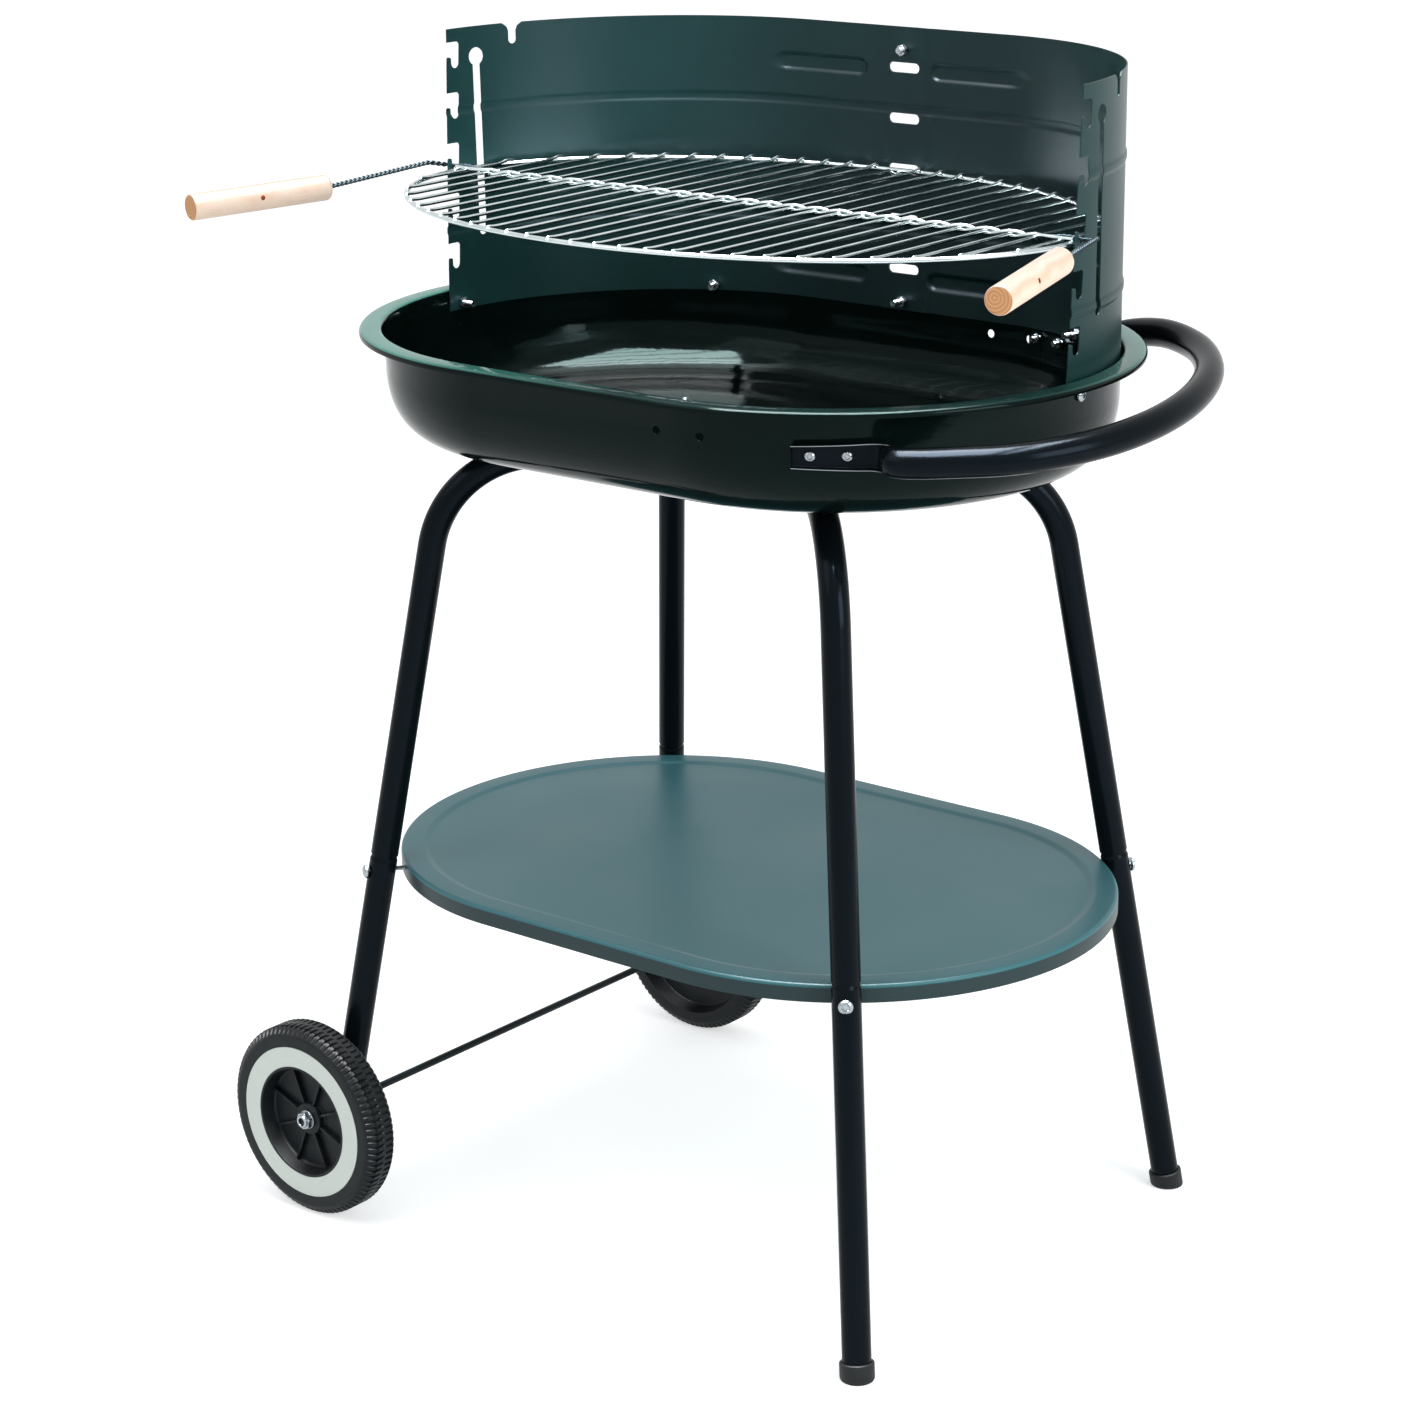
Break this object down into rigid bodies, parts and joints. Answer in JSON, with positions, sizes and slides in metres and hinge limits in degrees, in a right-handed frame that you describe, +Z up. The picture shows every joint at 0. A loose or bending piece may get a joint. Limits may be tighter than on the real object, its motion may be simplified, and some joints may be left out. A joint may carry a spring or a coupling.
{
  "type": "charcoal trolley grill",
  "caption": "Open oval charcoal grill with a slotted windshield, height-adjustable wire grate, push handle, splayed tube legs, storage shelf and two wheels.",
  "frame": {"origin": "on the floor, under the middle of the whole part's bounding box", "axes": "+X to the push handle, +Y to the windshield at the back, +Z up"},
  "size_m": [0.7576, 0.5176, 0.9219],
  "materials": {
    "bowl_enamel": "glossy black enamel with a green cast",
    "shield_paint": "satin black paint with a blue cast",
    "tube_paint": "satin black powder coat",
    "shelf_paint": "satin blue-grey paint",
    "zinc_steel": "bright zinc",
    "chrome_wire": "bright chrome plating",
    "beech": "bare sanded beech",
    "black_plastic": "matt black moulding",
    "pale_plastic": "pale grey-green moulding"
  },
  "bodies": {
    "frame": {"fire_bowl": "bowl_enamel", "windshield_left": "shield_paint", "windshield_right": "shield_paint", "seam_bolt_upper": "zinc_steel", "seam_bolt_lower": "zinc_steel", "side_bolt_left": "zinc_steel", "side_bolt_right": "zinc_steel", "end_bolt_left": "zinc_steel", "end_bolt_right": "zinc_steel", "leg_upper_rest_front": "tube_paint", "leg_lower_rest_front": "tube_paint", "leg_bolt_rest_front": "zinc_steel", "shelf_screw_rest_front": "zinc_steel", "leg_upper_rest_back": "tube_paint", "leg_lower_rest_back": "tube_paint", "leg_bolt_rest_back": "zinc_steel", "shelf_screw_rest_back": "zinc_steel", "leg_upper_wheel_front": "tube_paint", "leg_lower_wheel_front": "tube_paint", "leg_bolt_wheel_front": "zinc_steel", "shelf_screw_wheel_front": "zinc_steel", "leg_upper_wheel_back": "tube_paint", "leg_lower_wheel_back": "tube_paint", "leg_bolt_wheel_back": "zinc_steel", "shelf_screw_wheel_back": "zinc_steel", "foot_cap_rest_front": "black_plastic", "foot_cap_rest_back": "black_plastic", "shelf": "shelf_paint", "axle": "tube_paint", "axle_nut_front": "zinc_steel", "axle_nut_back": "zinc_steel", "push_handle": "tube_paint", "handle_screw_1": "zinc_steel", "handle_screw_2": "zinc_steel", "handle_screw_3": "zinc_steel", "handle_screw_4": "zinc_steel"},
    "wheel_front": {"wheel_front": "black_plastic", "wheel_ring_front": "pale_plastic"},
    "wheel_back": {"wheel_back": "black_plastic", "wheel_ring_back": "pale_plastic"},
    "grate": {"cooking_grate": "chrome_wire", "wooden_grip_left": "beech", "wooden_grip_right": "beech"}
  },
  "joints": [
    {"name": "wheel_front_spin", "type": "hinge", "parent": "frame", "child": "wheel_front", "pos_m": [-0.26725, -0.2435, 0.0797], "axis": [0, 1, 0], "continuous": true},
    {"name": "wheel_back_spin", "type": "hinge", "parent": "frame", "child": "wheel_back", "pos_m": [-0.26725, 0.2435, 0.0797], "axis": [0, 1, 0], "continuous": true},
    {"name": "grate_lift", "type": "hinge", "parent": "frame", "child": "grate", "pos_m": [-0.00555, 0.205, 0.8084], "axis": [-1, 0, 0], "range_deg": [0, 4]}
  ]
}
